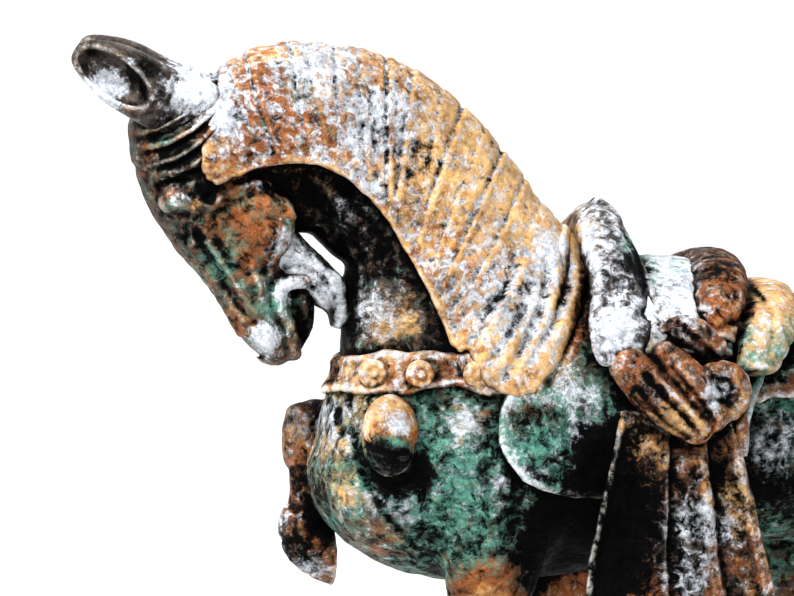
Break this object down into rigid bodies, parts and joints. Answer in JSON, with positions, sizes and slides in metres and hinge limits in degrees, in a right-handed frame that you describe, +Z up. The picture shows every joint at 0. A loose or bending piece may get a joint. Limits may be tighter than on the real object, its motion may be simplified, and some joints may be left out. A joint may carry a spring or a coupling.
{
  "type": "bronze horse statue",
  "caption": "Cast bronze statue of a stepping war horse with an arched neck, hogged mane, raised foreleg, saddle, knotted hanging cloths and breast collar, standing on its hooves.",
  "frame": {"origin": "on the ground, under the middle of the statue's box", "axes": "+Z up, the horse faces -X, its left side is -Y"},
  "size_m": [0.3786, 0.1298, 0.3225],
  "materials": {
    "horse_bronze": "dark cast bronze with verdigris and ochre patina",
    "head_bronze": "brown and green patina over dark cast bronze",
    "ear_bronze": "pale grey patina",
    "mane_bronze": "ochre and pale green patina",
    "blanket_bronze": "verdigris over dark cast bronze",
    "cover_bronze": "pale grey and lavender patina",
    "cloth_bronze": "orange-brown patina over dark folds",
    "strap_bronze": "rubbed ochre patina",
    "boss_bronze": "ochre above, green below",
    "inner_brass": "bare brass"
  },
  "bodies": {
    "root": {"body_casting": "horse_bronze", "neck_casting": "horse_bronze", "left_foreleg": "horse_bronze", "right_foreleg": "horse_bronze", "left_hind_leg": "horse_bronze", "right_hind_leg": "horse_bronze", "tail": "horse_bronze", "lower_jaw": "horse_bronze", "head_casting": "head_bronze", "left_ear": "ear_bronze", "right_ear": "ear_bronze", "mane": "mane_bronze", "forelock": "mane_bronze", "saddle_blanket": "blanket_bronze", "saddle_seat": "blanket_bronze", "back_roll": "blanket_bronze", "saddle_cover": "cover_bronze", "left_knot": "cloth_bronze", "right_knot": "cloth_bronze", "left_cloth": "cloth_bronze", "right_cloth": "cloth_bronze", "saddle_cantle": "strap_bronze", "breast_collar": "strap_bronze", "crupper": "strap_bronze", "collar_rosettes": "boss_bronze", "breast_bells": "boss_bronze", "crupper_rosettes": "boss_bronze", "neck_spigot": "inner_brass", "leg_dowels": "inner_brass", "head_dowel": "inner_brass", "tail_dowel": "inner_brass", "saddle_studs": "inner_brass", "core_plate": "inner_brass", "core_plate_screws": "inner_brass"}
  },
  "joints": []
}
